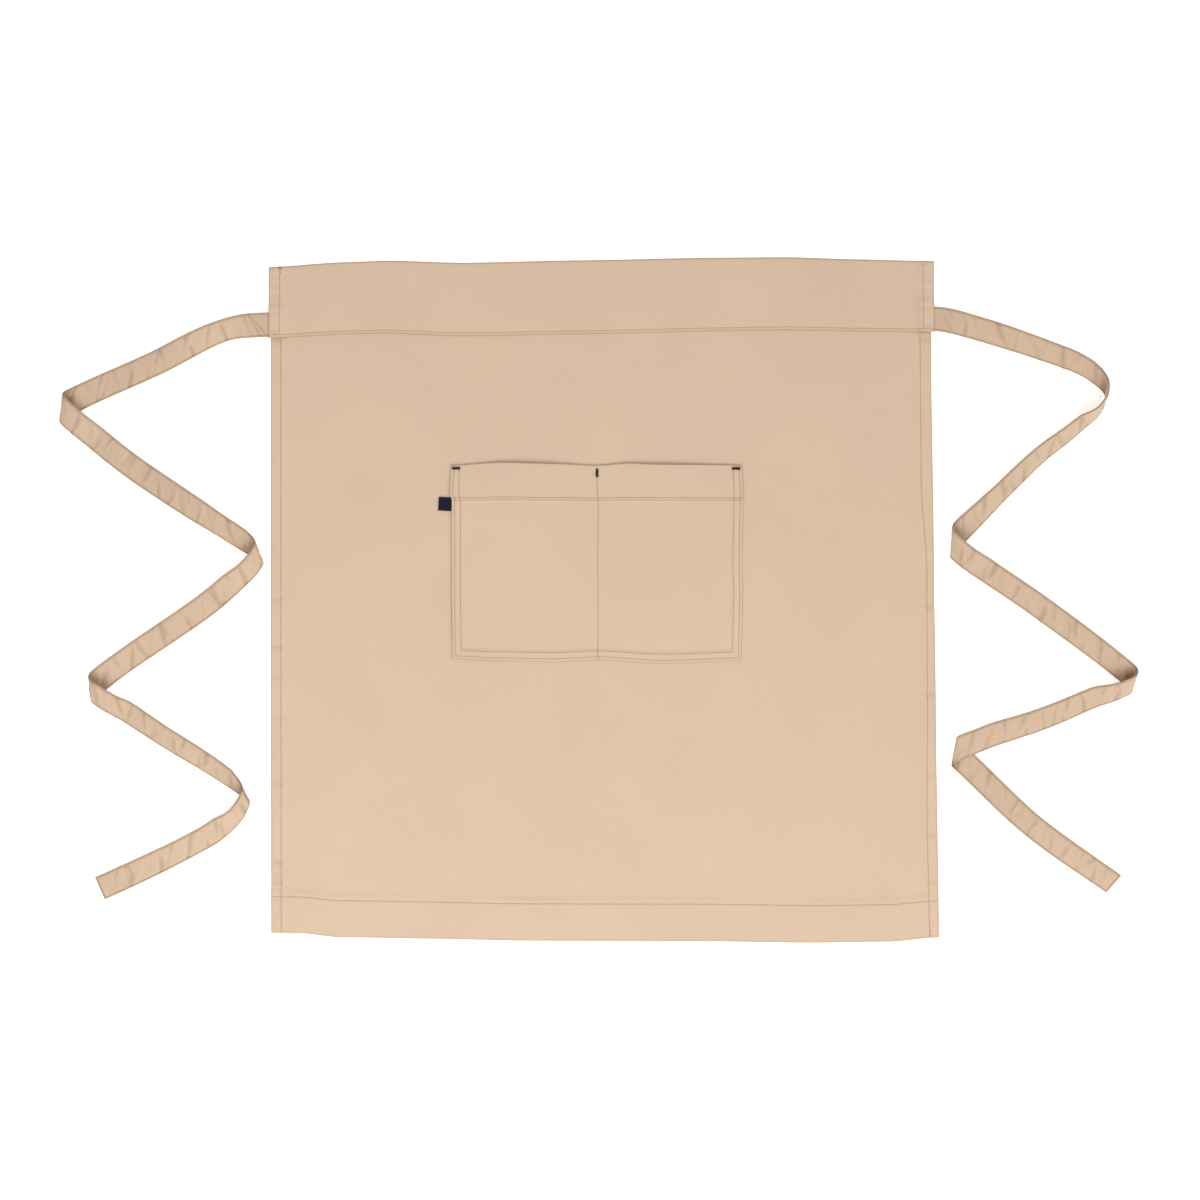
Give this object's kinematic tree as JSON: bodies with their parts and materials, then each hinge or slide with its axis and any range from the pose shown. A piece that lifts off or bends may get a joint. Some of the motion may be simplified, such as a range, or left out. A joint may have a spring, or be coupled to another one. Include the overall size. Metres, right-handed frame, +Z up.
{
  "type": "waist apron",
  "caption": "Long waist apron in twill, laid flat and face up, with a turned waistband, a divided patch pocket and long flat ties folded back and forth beside it.",
  "frame": {"origin": "middle of the main panel's flat underside, on the surface that the apron lies on", "axes": "+Z up out of the apron's face, +Y from the hem towards the waistband, +X to the right as seen from above"},
  "size_m": [1.2349, 0.7866, 0.0307],
  "materials": {
    "twill": "matt beige cotton and polyester twill",
    "tie_twill": "matt beige cotton and polyester twill",
    "navy_thread": "dark navy thread"
  },
  "bodies": {
    "root": {"apron_panel": "twill", "waistband": "twill", "pocket": "twill", "woven_label": "navy_thread", "bar_tack_left": "navy_thread", "bar_tack_centre": "navy_thread", "bar_tack_right": "navy_thread", "tie_left": "tie_twill", "tie_right": "tie_twill"}
  },
  "joints": []
}
